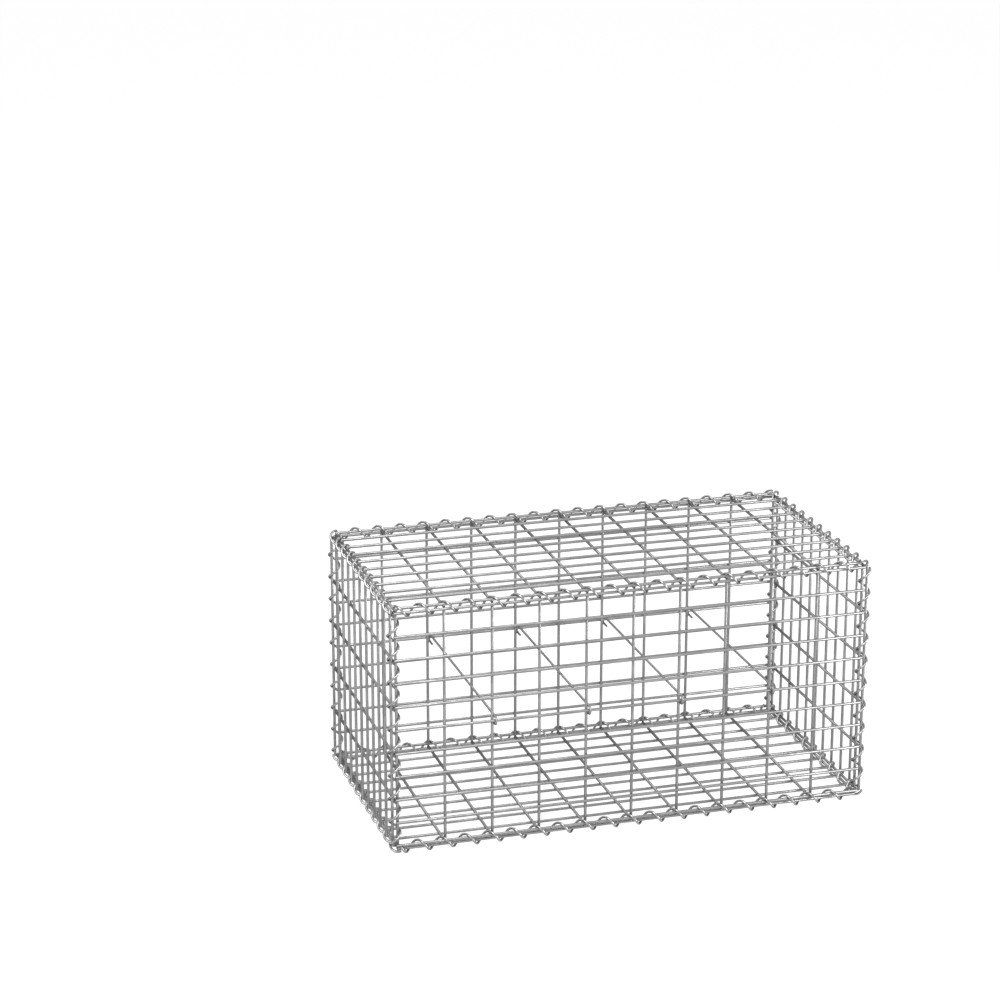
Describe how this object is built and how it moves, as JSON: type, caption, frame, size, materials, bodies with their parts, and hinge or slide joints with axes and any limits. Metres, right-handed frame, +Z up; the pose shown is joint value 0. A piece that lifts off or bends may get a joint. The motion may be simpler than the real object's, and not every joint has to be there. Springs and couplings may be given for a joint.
{
  "type": "welded mesh gabion basket",
  "caption": "Empty box-shaped gabion basket of welded wire mesh panels, laced along every edge by spiral binders and braced across its depth by hooked tie wires.",
  "frame": {"origin": "middle of the basket's footprint, on the ground under its long bottom spirals", "axes": "+X along the basket, -Y out of its front panel, +Z up through the lid"},
  "size_m": [1.0394, 0.5342, 0.5355],
  "materials": {
    "mesh_wire": "zinc-galvanised drawn wire",
    "spiral_wire": "bright zinc-galvanised spring wire",
    "tie_wire": "zinc-galvanised wire, bent cold"
  },
  "bodies": {
    "root": {"front_panel": "mesh_wire", "back_panel": "mesh_wire", "left_panel": "mesh_wire", "right_panel": "mesh_wire", "base_panel": "mesh_wire", "lid_panel": "mesh_wire", "front_top_spiral": "spiral_wire", "back_top_spiral": "spiral_wire", "left_top_spiral": "spiral_wire", "right_top_spiral": "spiral_wire", "front_bottom_spiral": "spiral_wire", "back_bottom_spiral": "spiral_wire", "left_bottom_spiral": "spiral_wire", "right_bottom_spiral": "spiral_wire", "front_left_spiral": "spiral_wire", "front_right_spiral": "spiral_wire", "back_left_spiral": "spiral_wire", "back_right_spiral": "spiral_wire", "tie_wire_1": "tie_wire", "tie_wire_2": "tie_wire", "tie_wire_3": "tie_wire", "tie_wire_4": "tie_wire"}
  },
  "joints": []
}
